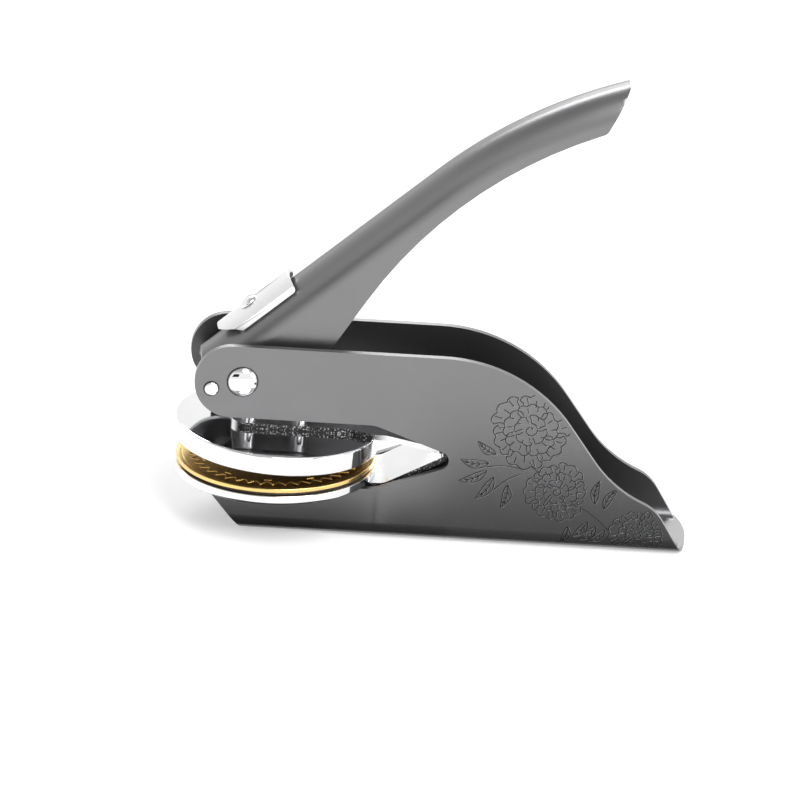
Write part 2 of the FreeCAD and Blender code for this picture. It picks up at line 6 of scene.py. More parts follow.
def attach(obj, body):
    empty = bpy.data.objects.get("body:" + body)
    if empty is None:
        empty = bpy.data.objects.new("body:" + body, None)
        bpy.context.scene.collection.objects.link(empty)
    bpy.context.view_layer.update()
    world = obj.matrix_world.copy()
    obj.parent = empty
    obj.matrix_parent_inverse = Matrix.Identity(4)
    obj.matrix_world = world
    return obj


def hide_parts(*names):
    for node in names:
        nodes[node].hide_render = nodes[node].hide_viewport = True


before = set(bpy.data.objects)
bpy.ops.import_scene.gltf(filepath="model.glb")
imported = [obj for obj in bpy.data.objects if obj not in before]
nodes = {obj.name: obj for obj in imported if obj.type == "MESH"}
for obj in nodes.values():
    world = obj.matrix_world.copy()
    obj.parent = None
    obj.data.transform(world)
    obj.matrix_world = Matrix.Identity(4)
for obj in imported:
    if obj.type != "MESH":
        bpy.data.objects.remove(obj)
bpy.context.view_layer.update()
MM = 0.001

# ---- driving sizes, in millimetres and degrees ---------------------------------------------------
# The channel: its width over both walls, its sheet and the outer radius of its folds.
WIDTH, SHEET, BEND = 21.4, 1.6, 4.0
HALF = WIDTH / 2
# The cross rivet that the lever turns on, the pin that stops it, and the radii of their bores.
PIVOT, PIVOT_BORE = (-50.5, 0.0, 35.2), 2.56
PIN, PIN_BORE = (-57.2, 0.0, 33.2), 1.56
# The radii of the rivet's heads and the pin's ends.
RIVET_HEAD, PIN_END = 3.3, 1.5
# The lever: its tilt at rest, width, sheet and shoulder radius.
LEVER_TILT, LEVER_WIDTH, LEVER_SHEET, CROWN = 42.6, 13.6, 1.4, 6.0
# Its back's height over the pivot, and how deep its sides are before they're cut.
LEVER_TOP, LEVER_DEPTH = 8.3, 19.0
# The lock: its outer half width, its sheet, the radius of its ridge, and how far it slides.
LOCK_REACH, LOCK_SHEET, LOCK_CROWN, LOCK_TRAVEL = 5.1, 0.8, 9.0, 4.0
# The heights of its creases and its ridge over the pivot, and its gap over the lever's shoulder.
CREASE, APEX, SHOULDER_GAP = LEVER_TOP + 0.6, LEVER_TOP + 3.44, 0.3
# Its rivet: how far along the lever from the pivot, and the shank's radius.
LOCK_RIVET_U, LOCK_SHANK = 10.3, 1.1
# The clip: its fold, its arms' tilts at rest, its sheet, and how far along the arms the dies sit.
FOLD, LOWER_TILT, UPPER_TILT, CLIP_SHEET, DIE_U = (-5.4, 0.0, 19.8), 3.0, -0.4, 1.2, -36.0
# The studs through the cups: the radii of shank and head, and the head's height.
STUD_SHANK, STUD_HEAD, STUD_RISE = 1.2, 2.3, 0.9

ORIGIN, UPRIGHT = (0.0, 0.0, 0.0), 0.0
AXES = {"X": Vector((1, 0, 0)), "Y": Vector((0, 1, 0)), "Z": Vector((0, 0, 1))}
# Each plane is named by the axis across it, and gives its own two directions.
PLANES = {"X": (AXES["Y"], AXES["Z"]), "Y": (AXES["X"], AXES["Z"]), "Z": (AXES["X"], AXES["Y"])}
FULL_TURN = 2 * math.pi
# The largest step of a drawn arc, and the steps round a cup, a rivet head and a stud or bore.
ARC_STEP = math.radians(3.5)
CUP_STEPS, HEAD_STEPS, STUD_STEPS = 160, 64, 48
# How far a cutting tool reaches past the walls, in millimetres, and what is merged, in metres.
TOOL_REACH, WELD = 30, 1e-6


# ---- modelling by hand: lines, turned bodies and cuts ------------------------------------------------
def to_metres(point):
    return Vector(point) * MM


def activate(piece):
    """Leave only this piece selected, out of edit mode."""
    if bpy.context.object and bpy.context.object.mode != "OBJECT":
        bpy.ops.object.mode_set(mode="OBJECT")
    bpy.ops.object.select_all(action="DESELECT")
    piece.select_set(True)
    bpy.context.view_layer.objects.active = piece


def start_line(name, point):
    """A small plane, merged to the one vertex that a line is drawn from."""
    bpy.ops.object.select_all(action="DESELECT")
    bpy.ops.mesh.primitive_plane_add(size=MM)
    piece = bpy.context.object
    piece.name = piece.data.name = name
    bpy.ops.object.mode_set(mode="EDIT")
    bpy.ops.mesh.select_mode(type="VERT")
    bpy.ops.mesh.select_all(action="SELECT")
    bpy.ops.mesh.merge(type="CENTER")
    bpy.ops.transform.translate(value=point)
    return piece


class Pencil:
    """Draws a line of straight runs and arcs in a plane, by extruding and spinning its last vertex.

    A run shorter than SHORTEST, in millimetres, is left out.
    """

    SHORTEST = 1e-4

    def __init__(self, name, plane, depth, first):
        self.across, self.above = PLANES[plane]
        self.offset = AXES[plane] * depth
        self.at = Vector(first)
        self.piece = start_line(name, self.lift(self.at))

    def lift(self, point):
        """A point of the plane, in metres."""
        return (self.across * point[0] + self.above * point[1] + self.offset) * MM

    def run(self, target):
        target = Vector(target)
        if (target - self.at).length > self.SHORTEST:
            bpy.ops.mesh.extrude_vertices_move(
                TRANSFORM_OT_translate={"value": self.lift(target) - self.lift(self.at)})
            self.at = target

    def arc(self, centre, turn):
        """Turn is positive from across towards above."""
        steps = max(2, math.ceil(abs(turn) / ARC_STEP))
        bpy.ops.mesh.spin(steps=steps, angle=-turn, center=self.lift(centre),
                          axis=self.across.cross(self.above))
        swing = self.at - Vector(centre)
        self.at = Vector(centre) + Matrix.Rotation(turn, 2) @ swing


def corner_arc(before, corner, after, radius):
    """Where the arc that rounds a corner starts, its centre and its turn."""
    back, onward = (before - corner).normalized(), (after - corner).normalized()
    half_angle = back.angle(onward) / 2
    centre = corner + (back + onward).normalized() * (radius / math.sin(half_angle))
    start = corner + back * (radius / math.tan(half_angle))
    turn = math.pi - 2 * half_angle
    left = back.x * onward.y - back.y * onward.x < 0
    return start, centre, turn if left else -turn


def fitted_radii(flat, corners):
    """Each corner's radius, made smaller where two arcs would overlap on the run between them."""
    radii = [corner[2] if len(corner) > 2 else 0.0 for corner in corners]
    count, usable = len(flat), 0.98
    share, reach = [1.0] * count, [0.0] * count
    for i, radius in enumerate(radii):
        if radius:
            before, after = flat[i - 1] - flat[i], flat[(i + 1) % count] - flat[i]
            reach[i] = radius / math.tan(before.angle(after) / 2)
    for i in range(count):
        j = (i + 1) % count
        asked, room = reach[i] + reach[j], usable * (flat[j] - flat[i]).length
        if asked > room:
            share[i], share[j] = min(share[i], room / asked), min(share[j], room / asked)
    return [radius * part for radius, part in zip(radii, share)]


def draw(name, corners, plane, depth=0.0, closed=True):
    """A line through (across, above, radius) corners; it starts at the first one, which has no radius."""
    flat = [Vector(corner[:2]) for corner in corners]
    radii = fitted_radii(flat, corners)
    pencil = Pencil(name, plane, depth, flat[0])
    for i in range(1, len(flat)):
        if not radii[i]:
            pencil.run(flat[i])
            continue
        start, centre, turn = corner_arc(flat[i - 1], flat[i], flat[(i + 1) % len(flat)], radii[i])
        pencil.run(start)
        pencil.arc(centre, turn)
    if closed:
        pencil.run(flat[0])
        bpy.ops.mesh.select_all(action="SELECT")
        bpy.ops.mesh.remove_doubles(threshold=WELD)
        bpy.ops.mesh.edge_face_add()
    return pencil.piece


def close_up(piece):
    """Merge what meets and turn the faces outwards."""
    bpy.ops.mesh.select_all(action="SELECT")
    bpy.ops.mesh.remove_doubles(threshold=WELD)
    bpy.ops.mesh.normals_make_consistent(inside=False)
    bpy.ops.object.mode_set(mode="OBJECT")
    return piece


def place(piece, point=ORIGIN, tilt=UPRIGHT):
    """Move a piece to its point, tilted so that +X rises, and write the place into its mesh."""
    activate(piece)
    piece.matrix_world = Matrix.Translation(to_metres(point)) @ Matrix.Rotation(-math.radians(tilt), 4, "Y")
    bpy.ops.object.transform_apply(location=True, rotation=True, scale=True)
    return piece


def slab(name, corners, plane, low, high, point=ORIGIN, tilt=UPRIGHT):
    """A drawn outline extruded from low to high across its plane."""
    piece = draw(name, corners, plane, low)
    bpy.ops.mesh.extrude_region_move(TRANSFORM_OT_translate={"value": AXES[plane] * (high - low) * MM})
    return place(close_up(piece), point, tilt)


def turned(name, profile, point=ORIGIN, tilt=UPRIGHT, axis="Z", steps=CUP_STEPS):
    """A profile of (radius, height) spun round its axis, as on a lathe."""
    piece = draw(name, profile, {"Z": "Y", "Y": "Z"}[axis], closed=False)
    bpy.ops.mesh.select_all(action="SELECT")
    bpy.ops.mesh.spin(steps=steps, angle=FULL_TURN, center=ORIGIN, axis=AXES[axis])
    return place(close_up(piece), point, tilt)


def combine(piece, tool, operation):
    """Cut or keep the piece by the tool, which is then thrown away."""
    activate(piece)
    change = piece.modifiers.new("combine", "BOOLEAN")
    change.operation, change.solver, change.object = operation, "EXACT", tool
    bpy.ops.object.modifier_apply(modifier=change.name)
    activate(tool)
    bpy.ops.object.delete()


def drill(piece, radius, point, tilt=UPRIGHT):
    """Bore a hole through from side to side."""
    bpy.ops.object.select_all(action="DESELECT")
    bpy.ops.mesh.primitive_cylinder_add(vertices=STUD_STEPS, radius=radius * MM, depth=3 * WIDTH * MM,
                                        rotation=(math.pi / 2, 0, 0))
    bit = bpy.context.object
    bpy.ops.object.transform_apply(location=True, rotation=True, scale=True)
    combine(piece, place(bit, point, tilt), "DIFFERENCE")


def break_edges(piece, width, angle):
    """A modifier that rounds off the edges whose faces meet at more than the angle."""
    bevel = piece.modifiers.new("edge", "BEVEL")
    bevel.width, bevel.segments = width * MM, 2
    bevel.limit_method, bevel.angle_limit = "ANGLE", math.radians(angle)
    return bevel


def even_shading(piece):
    """A modifier that keeps broad faces flat to the eye, so that the broken edges take up the turn."""
    even = piece.modifiers.new("even", "WEIGHTED_NORMAL")
    even.weight = 60
    return even


def cover(piece, material):
    piece.data.materials.clear()
    piece.data.materials.append(material)


def finish(piece, material, body, replaced=(), edge=0.0, angle=32.0):
    """Break the edges, smooth the shading, and say what the piece is made of, rides on and replaces."""
    activate(piece)
    if edge:
        bpy.ops.object.modifier_apply(modifier=break_edges(piece, edge, angle).name)
    bpy.ops.object.shade_smooth()
    bpy.ops.object.modifier_apply(modifier=even_shading(piece).name)
    cover(piece, material)
    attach(piece, body)
    if replaced:
        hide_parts(*replaced)


# ---- surfaces ----------------------------------------------------------------------------------------
def linear(code):
    """An sRGB colour such as #8899AA as the linear colour that nodes take."""
    parts = [int(code[k:k + 2], 16) / 255 for k in (1, 3, 5)]
    return (*[p / 12.92 if p <= 0.04045 else ((p + 0.055) / 1.055) ** 2.4 for p in parts], 1)


def per_metre(size):
    """A noise scale whose spots are about this many millimetres across."""
    return 1 / (size * MM)


def add_node(tree, kind, inputs=None, **settings):
    """A node with its settings; each input is a plain value or another node's output to link."""
    node = tree.nodes.new("ShaderNode" + kind)
    for name, value in settings.items():
        setattr(node, name, value)
    for socket, value in (inputs or {}).items():
        if isinstance(value, bpy.types.NodeSocket):
            tree.links.new(value, node.inputs[socket])
        else:
            node.inputs[socket].default_value = value
    return node


def surface(name, dark, light, metallic, gloss, patch, grit, relief):
    """Colour and roughness drift from patch to patch, under a fine relief; patch and grit are in mm."""
    made = bpy.data.materials.new(name)
    made.use_nodes = True
    tree = made.node_tree
    shader = tree.nodes["Principled BSDF"]
    shader.inputs["Metallic"].default_value = metallic
    spot = add_node(tree, "TexCoord").outputs["Object"]
    drift = add_node(tree, "TexNoise", {"Vector": spot, "Scale": per_metre(patch), "Detail": 4.0})
    tint = add_node(tree, "Mix", {"Factor": drift.outputs["Fac"], "A": linear(dark), "B": linear(light)},
                    data_type="RGBA")
    wear = add_node(tree, "MapRange", {"Value": drift.outputs["Fac"], "To Min": gloss[0], "To Max": gloss[1]})
    grain = add_node(tree, "TexNoise", {"Vector": spot, "Scale": per_metre(grit), "Detail": 3.0})
    bump = add_node(tree, "Bump", {"Height": grain.outputs["Fac"], "Strength": relief, "Distance": 0.1 * MM})
    tree.links.new(tint.outputs["Result"], shader.inputs["Base Color"])
    tree.links.new(wear.outputs["Result"], shader.inputs["Roughness"])
    tree.links.new(bump.outputs["Normal"], shader.inputs["Normal"])
    return made


def paint_shade_inside(made, shade_amount, dark):
    """Painted shade: the coat is darker on the faces that look at the middle plane, inside the channel and
    the lever, where shade falls.
    """
    full_from, none_from = -4 * MM, -1 * MM
    tree = made.node_tree
    shader = tree.nodes["Principled BSDF"]
    facing = add_node(tree, "SeparateXYZ", {"Vector": add_node(tree, "NewGeometry").outputs["Normal"]})
    spot = add_node(tree, "SeparateXYZ", {"Vector": add_node(tree, "TexCoord").outputs["Object"]})
    # This is below zero where a face looks inwards, by as much as it is away from the middle plane.
    side = add_node(tree, "Math", {0: facing.outputs["Y"], 1: spot.outputs["Y"]}, operation="MULTIPLY")
    inner = add_node(tree, "MapRange", {"Value": side.outputs["Value"], "From Min": full_from,
                                        "From Max": none_from, "To Min": shade_amount, "To Max": 0.0})
    coat = shader.inputs["Base Color"].links[0].from_socket
    tint = add_node(tree, "Mix", {"Factor": inner.outputs["Result"], "A": coat, "B": linear(dark)},
                    data_type="RGBA")
    tree.links.new(tint.outputs["Result"], shader.inputs["Base Color"])


def paint_edge_reflection(made, dark, light, glint, dull, until):
    """The faces across the strip, where it was sheared, are dull up to an X, and there carry a painted
    reflection: dark for the dark cups beside them, with bright specks as painted glints.
    """
    slanted, square, fade = 0.6, 0.85, 4
    glint_edge, glint_middle = 0.56, 0.72
    tree = made.node_tree
    shader = tree.nodes["Principled BSDF"]
    facing = add_node(tree, "SeparateXYZ", {"Vector": add_node(tree, "NewGeometry").outputs["Normal"]})
    size = add_node(tree, "Math", {0: facing.outputs["Y"]}, operation="ABSOLUTE")
    across = add_node(tree, "MapRange", {"Value": size.outputs["Value"], "From Min": slanted,
                                         "From Max": square})
    spot = add_node(tree, "TexCoord").outputs["Object"]
    along = add_node(tree, "SeparateXYZ", {"Vector": spot})
    near = add_node(tree, "MapRange", {"Value": along.outputs["X"], "From Min": (until - fade) * MM,
                                       "From Max": until * MM, "To Min": 1.0, "To Max": 0.0})
    cut = add_node(tree, "Math", {0: across.outputs["Result"], 1: near.outputs["Result"]},
                   operation="MULTIPLY")
    noise = add_node(tree, "TexNoise", {"Vector": spot, "Scale": per_metre(glint), "Detail": 2.0})
    grain = add_node(tree, "MapRange", {"Value": noise.outputs["Fac"], "From Min": glint_edge,
                                        "From Max": glint_middle})
    # Painted reflection and glints: dark colour with bright specks, where the edges would mirror the dark
    # cups.
    reflection_glints = add_node(tree, "Mix", {"Factor": grain.outputs["Result"], "A": linear(dark), "B": linear(light)},
                      data_type="RGBA")
    plate = shader.inputs["Base Color"].links[0].from_socket
    tint = add_node(tree, "Mix", {"Factor": cut.outputs["Value"], "A": plate, "B": reflection_glints.outputs["Result"]},
                    data_type="RGBA")
    gloss = shader.inputs["Roughness"].links[0].from_socket
    rough = add_node(tree, "Mix", {"Factor": cut.outputs["Value"], "A": gloss, "B": dull})
    tree.links.new(tint.outputs["Result"], shader.inputs["Base Color"])
    tree.links.new(rough.outputs["Result"], shader.inputs["Roughness"])


def chromed_strip(name, until):
    """Spring steel, chrome plated as pressed: bright with a slight ripple, and dull at its sheared edges,
    which carry a painted dark reflection with painted glints.
    """
    made = surface(name, "#E8E8E9", "#F6F6F7", metallic=1.0, gloss=(0.11, 0.21),
                   patch=6, grit=1.1, relief=0.12)
    paint_edge_reflection(made, "#3F3F40", "#E7E7E7", glint=0.38, dull=0.45, until=until)
    return made


# A real coat's grain is finer than 0.1 mm and wouldn't show, so each grit is as coarse as it needs to be.

# Satin gunmetal lacquer baked on pressed steel: a soft grey sheen with a grain as fine as dust.
GUNMETAL = surface("satin_gunmetal_lacquer", "#7D7D7E", "#868687", metallic=0.96, gloss=(0.32, 0.38),
                   patch=22, grit=0.38, relief=0.22)
# Painted shade: the faces inside the channel and the lever are darker, where little light reaches.
paint_shade_inside(GUNMETAL, shade_amount=0.5, dark="#26262A")
# The same lacquer darkened with painted shade, for the bottom of a pressed line where light hardly gets in,
# and for painted contact shadow round heads and pin ends.
GROOVE_SHADE = surface("lacquer_painted_shade_in_pressed_line", "#2E2E30", "#323234", metallic=0.6, gloss=(0.44, 0.56),
                 patch=5, grit=0.38, relief=0.2)
# The same lacquer, lighter as a painted highlight along the lit edge of a pressed line.
RIDGE_HIGHLIGHT = surface("lacquer_painted_highlight_on_pressed_ridge", "#A7A7A9", "#B2B2B4", metallic=0.96, gloss=(0.28, 0.4),
                patch=5, grit=0.38, relief=0.15)
# Bright nickel-chrome plate, polished before plating: a clean mirror with hardly any ripple.
CHROME = surface("polished_chrome_plate", "#EBEBEC", "#F9F9FA", metallic=1.0, gloss=(0.04, 0.08),
                 patch=8, grit=1.4, relief=0.02)
# The lower arm's edges are dull and carry the painted dark reflection all along, and the upper arm's only
# over the die.
LOWER_STRIP = chromed_strip("chromed_spring_strip", until=10)
UPPER_STRIP = chromed_strip("chromed_spring_strip_over_die", until=-17)
# Zinc-plated sheet for the lock: pale and satin, with a faint cloud.
ZINC = surface("satin_zinc_plate", "#E3E3E4", "#F2F2F3", metallic=0.8, gloss=(0.24, 0.36),
               patch=4.5, grit=0.8, relief=0.18)
# Engraved and polished brass: warm yellow, with a haze from handling.
BRASS = surface("polished_engraved_brass", "#EFCB84", "#FCD98C", metallic=1.0, gloss=(0.18, 0.30),
                patch=3.3, grit=0.67, relief=0.15)
# Bare machined steel inside the mechanism: grey with a fine cutter grain.
STEEL = surface("machined_steel", "#A8A8A9", "#B2B2B4", metallic=1.0, gloss=(0.26, 0.42),
                patch=4, grit=0.56, relief=0.3)
# Cast phenolic resin for the counter-die: dark brown with a soft shine.
RESIN = surface("cast_phenolic_resin", "#4B4036", "#50443A", metallic=0.0, gloss=(0.29, 0.41),
                patch=5, grit=0.83, relief=0.2)
# Painted shadow for the gap under the die's flange: almost black, dull and coarse.
GAP_SHADOW = surface("painted_gap_shadow", "#33302A", "#37342D", metallic=0.0, gloss=(0.54, 0.66),
                patch=0.45, grit=0.33, relief=0.6)


# ---- folded channel -----------------------------------------------------------------------------------
def make_channel():
    """One sheet folded to a channel: its two walls carry the jaw, the throat and the sloping tail."""
    blank_top, blank_end, inner_bend = 60, 75, BEND - SHEET
    inside = HALF - SHEET
    channel = slab("body_shell", [
        (-HALF, blank_top), (-HALF, 0, BEND), (HALF, 0, BEND), (HALF, blank_top), (inside, blank_top),
        (inside, SHEET, inner_bend), (-inside, SHEET, inner_bend), (-inside, blank_top)],
        "X", -blank_end, blank_end)
    tail, lip, lip_radius = 48, 51.9, 29
    past_nose, below, above = -70, -10, 70
    top, nose, nose_under, nose_round = 43.3, -60.95, 26.7, 8.2
    side = [(lip, 0), (lip, SHEET), (tail, SHEET), (42.4, 10.5, 16), (32.6, 14.8, 45), (11.5, top, 36),
            (nose, top, nose_round), (nose, nose_under, nose_round), (-20.8, nose_under, 6),
            (0, 19.35, 2.1), (-19.4, 11.8, 6), (-56.85, 10.2, 0.8), (-48, 0, 3)]
    combine(channel, slab("side", side, "Y", -TOOL_REACH, TOOL_REACH), "INTERSECT")
    plan = [(tail, -TOOL_REACH), (tail, -HALF), (lip, 0, lip_radius), (tail, HALF), (tail, TOOL_REACH),
            (past_nose, TOOL_REACH), (past_nose, -TOOL_REACH)]
    combine(channel, slab("plan", plan, "Z", below, above), "INTERSECT")
    drill(channel, PIVOT_BORE, PIVOT)
    drill(channel, PIN_BORE, PIN)
    finish(channel, GUNMETAL, "base", ("frame",), edge=0.22)
    return channel


# ---- lever ----------------------------------------------------------------------------------------------
def make_lever():
    """A crowned channel bent along its back, cut to its side outline and slotted under the lock."""
    outer, inner = LEVER_WIDTH / 2, LEVER_WIDTH / 2 - LEVER_SHEET
    top, under, low = LEVER_TOP, LEVER_TOP - LEVER_SHEET, LEVER_TOP - LEVER_DEPTH
    section = [(-outer, low), (-outer, top, CROWN), (outer, top, CROWN), (outer, low), (inner, low),
               (inner, under, CROWN - LEVER_SHEET), (-inner, under, CROWN - LEVER_SHEET), (-inner, low)]
    front, arch_radius, arch_steps = -16.0, 108.0, 36
    arch_corner, arch_end = Vector((85.2, top)), Vector((112.5, -4.4))
    start, centre, turn = corner_arc(Vector((front, top)), arch_corner, arch_end, arch_radius)
    bent = centre + Matrix.Rotation(turn, 2) @ (start - centre)
    straight = to_metres((start.x - front, 0, 0))
    onward = to_metres((arch_end.x - bent.x, 0, arch_end.y - bent.y))

    lever = draw("press_lever", section, "X", front)
    bpy.ops.mesh.extrude_region_move(TRANSFORM_OT_translate={"value": straight})
    bpy.ops.mesh.spin(steps=arch_steps, angle=turn, center=to_metres((centre.x, 0, centre.y)), axis=AXES["Y"])
    bpy.ops.mesh.extrude_region_move(TRANSFORM_OT_translate={"value": onward})
    place(close_up(lever), PIVOT, LEVER_TILT)

    # The front edge and the stop, the cam and its heel, the belly, and the tip.
    over = 12.14
    outline = [(-0.79, over), (-6.61, 5.81), (-3, 2.49), (-6.99, -9.475, 7.35), (16.67, -8.2, 6),
               (64.2, 6.3, 100), (96.8, -5.85, 2), (106.6, -1.9), (108, 1.2), (84, over)]
    combine(lever, slab("outline", outline, "Y", -TOOL_REACH, TOOL_REACH, PIVOT, LEVER_TILT), "INTERSECT")
    drill(lever, PIVOT_BORE, PIVOT, LEVER_TILT)

    half, corner, play = 1.3, 1.25, 0.5
    slot_rear = LOCK_RIVET_U + LOCK_SHANK + play
    slot_front = LOCK_RIVET_U - LOCK_TRAVEL - LOCK_SHANK - play
    slot = [((slot_front + slot_rear) / 2, -half), (slot_rear, -half, corner), (slot_rear, half, corner),
            (slot_front, half, corner), (slot_front, -half, corner)]
    through = slab("slot", slot, "Z", top - 2 * LEVER_SHEET, top + 2, PIVOT, LEVER_TILT)
    combine(lever, through, "DIFFERENCE")
    finish(lever, GUNMETAL, "lever", ("handle",), edge=0.2)


# ---- sliding lock -----------------------------------------------------------------------------------------
ROOF_SLOPE = (APEX - CREASE) / LOCK_REACH
ROOF_STRETCH = math.sqrt(1 + ROOF_SLOPE ** 2)
LOCK_TOP = APEX - LOCK_CROWN * (ROOF_STRETCH - 1)


def make_lock():
    """A creased saddle that rides on the lever's back, with its foot cut away at the front."""
    low, inner_reach = LEVER_TOP - LEVER_DEPTH, LOCK_REACH - LOCK_SHEET
    inner_apex = APEX - LOCK_SHEET * ROOF_STRETCH
    inner_crease = inner_apex - ROOF_SLOPE * inner_reach
    blank_front, blank_rear = -2, 26
    saddle = slab("lock_saddle", [
        (-LOCK_REACH, low), (-LOCK_REACH, CREASE), (0, APEX, LOCK_CROWN), (LOCK_REACH, CREASE),
        (LOCK_REACH, low), (inner_reach, low), (inner_reach, inner_crease),
        (0, inner_apex, LOCK_CROWN - LOCK_SHEET), (-inner_reach, inner_crease), (-inner_reach, low)],
        "X", blank_front, blank_rear, PIVOT, LEVER_TILT)
    # The foot clears the lever's round shoulder below the lock's inner wall.
    past_shoulder = inner_reach - (LEVER_WIDTH / 2 - CROWN)
    foot = LEVER_TOP - CROWN + math.sqrt(CROWN ** 2 - past_shoulder ** 2) + SHOULDER_GAP
    front, shoulder, flange, rear, over = 1.7, 5.1, 6.3, 21.2, LEVER_TOP + 6.9
    side = [(front, over), (front, LEVER_TOP + 1.9), (shoulder, CREASE), (flange, foot, 0.45),
            (rear, foot, 0.9), (rear, over)]
    combine(saddle, slab("side", side, "Y", -TOOL_REACH, TOOL_REACH, PIVOT, LEVER_TILT), "INTERSECT")
    finish(saddle, ZINC, "lock", ("lock_slider",), edge=0.12)


# ---- rivets, pin and the painted shadow rings round them ---------------------------------------------------
def dome(radius, base, height):
    """A rivet head's profile from its rim up to its middle."""
    steps = 10
    turns = [math.pi / 2 * k / steps for k in range(steps + 1)]
    return [(radius * math.cos(a), base + height * math.sin(a)) for a in turns]


def flipped(profile):
    """A profile upside down, and drawn the other way."""
    return [(radius, -height) for radius, height in reversed(profile)]


def on_tilted(point, tilt, along):
    """A place that many millimetres along a tilted body."""
    a = math.radians(tilt)
    return point[0] + along * math.cos(a), point[1], point[2] + along * math.sin(a)


def make_lock_stud():
    """The rivet that goes through the lever's slot to the keeper plate under it."""
    keeper_gap, keeper_sheet, head_radius, head_rise = 0.6, 1.2, 2.1, 0.95
    low = LEVER_TOP - LEVER_SHEET - keeper_gap - keeper_sheet
    stud = turned("lock_stud", [(0, low), (LOCK_SHANK, low), (LOCK_SHANK, LOCK_TOP)]
                  + dome(head_radius, LOCK_TOP, head_rise),
                  on_tilted(PIVOT, LEVER_TILT, LOCK_RIVET_U), LEVER_TILT, steps=STUD_STEPS)
    finish(stud, CHROME, "lock", ("lock_rivet",), edge=0.05)


def make_cross_rivet():
    """The rivet that the lever turns on, with a low dome outside each wall."""
    shank, head_rise = 2.5, 1.5
    head = dome(RIVET_HEAD, HALF, head_rise)
    rivet = turned("cross_rivet", flipped(head) + [(shank, -HALF), (shank, HALF)] + head, PIVOT, axis="Y",
                   steps=HEAD_STEPS)
    finish(rivet, CHROME, "base", ("pivot_rivet",), edge=0.08, angle=40)


def make_front_pin():
    """The pin that stops the lever, rounded where it stands proud of the walls."""
    end = [(PIN_END, HALF + 0.2), (PIN_END - 0.05, HALF + 0.4), (PIN_END - 0.25, HALF + 0.5),
           (0, HALF + 0.5)]
    finish(turned("front_pin", flipped(end) + end, PIN, axis="Y", steps=STUD_STEPS),
           CHROME, "base", ("stop_pin",))


def make_shadow_rings(name, point, radius):
    """A thin ring of painted contact shadow on each wall, round the place where a head or an end comes
    through the lacquer.
    """
    width, rise = 0.26, 0.1
    for side, wall in ((-1, "near"), (1, "far")):
        face, proud = side * HALF, side * (HALF + rise)
        ring = [(radius, face), (radius + width, face), (radius + width, proud), (radius, proud),
                (radius, face)]
        # Each ring is painted contact shadow: a dark band standing just proud of the wall round the head or
        # the pin's end.
        seat = turned(f"{name}_seat_{wall}", ring, point, axis="Y", steps=HEAD_STEPS)
        finish(seat, GROOVE_SHADE, "base")


# ---- cups, die and counter-die ------------------------------------------------------------------------
LOWER_DIE_AT = on_tilted(FOLD, LOWER_TILT, DIE_U)
UPPER_DIE_AT = on_tilted(FOLD, UPPER_TILT, DIE_U)
DIE_FACE = -3.09


def on_lower(name, profile, steps=CUP_STEPS):
    return turned(name, profile, LOWER_DIE_AT, LOWER_TILT, steps=steps)


def on_upper(name, profile, steps=CUP_STEPS):
    return turned(name, profile, UPPER_DIE_AT, UPPER_TILT, steps=steps)


def make_lower_die():
    """A dished cup, the engraved brass die in it with its raised rim, the ring of painted gap shadow between
    and the stud.
    """
    cup, wall, low, floor, rim = 22.0, 1.0, -6.76, -5.66, -4.76
    finish(on_lower("lower_die_cup", [
        (STUD_SHANK, low), (cup - 0.6, low), (cup - 0.25, low + 0.08), (cup - 0.05, low + 0.31),
        (cup, low + 0.56), (cup, rim - 0.19), (cup - 0.05, rim - 0.06), (cup - 0.2, rim), (cup - 0.85, rim),
        (cup - wall, rim - 0.1), (cup - wall, floor), (STUD_SHANK, floor), (STUD_SHANK, low)]),
        CHROME, "base", ("lower_cup",))
    neck, flange, under = 20.4, 21.8, -4.06
    finish(on_lower("brass_die", [
        (0, floor), (neck, floor), (neck, under), (flange - 0.2, under), (flange - 0.05, under + 0.06),
        (flange, under + 0.18), (flange, DIE_FACE - 0.21), (flange - 0.06, DIE_FACE - 0.07),
        (flange - 0.2, DIE_FACE), (neck + 0.5, DIE_FACE), (neck + 0.4, DIE_FACE - 0.08),
        (neck + 0.1, DIE_FACE - 0.08), (neck, DIE_FACE), (0, DIE_FACE)]),
        BRASS, "base", ("lower_die",))
    # The dark ring is painted shadow, set in the gap between the cup's rim and the die's flange.
    inner, outer, top = neck + 0.02, 21.12, under - 0.02
    finish(on_lower("die_gap_shadow_ring", [
        (inner, rim), (outer - 0.07, rim), (outer, rim + 0.16), (outer, top - 0.12), (outer - 0.07, top),
        (inner, top), (inner, rim)]), GAP_SHADOW, "base")
    base = low - CLIP_SHEET
    finish(on_lower("lower_stud", flipped(dome(STUD_HEAD, -base, STUD_RISE))
                    + [(STUD_SHANK, base), (STUD_SHANK, floor), (0, floor)], steps=STUD_STEPS),
           CHROME, "base", ("lower_rivet",))


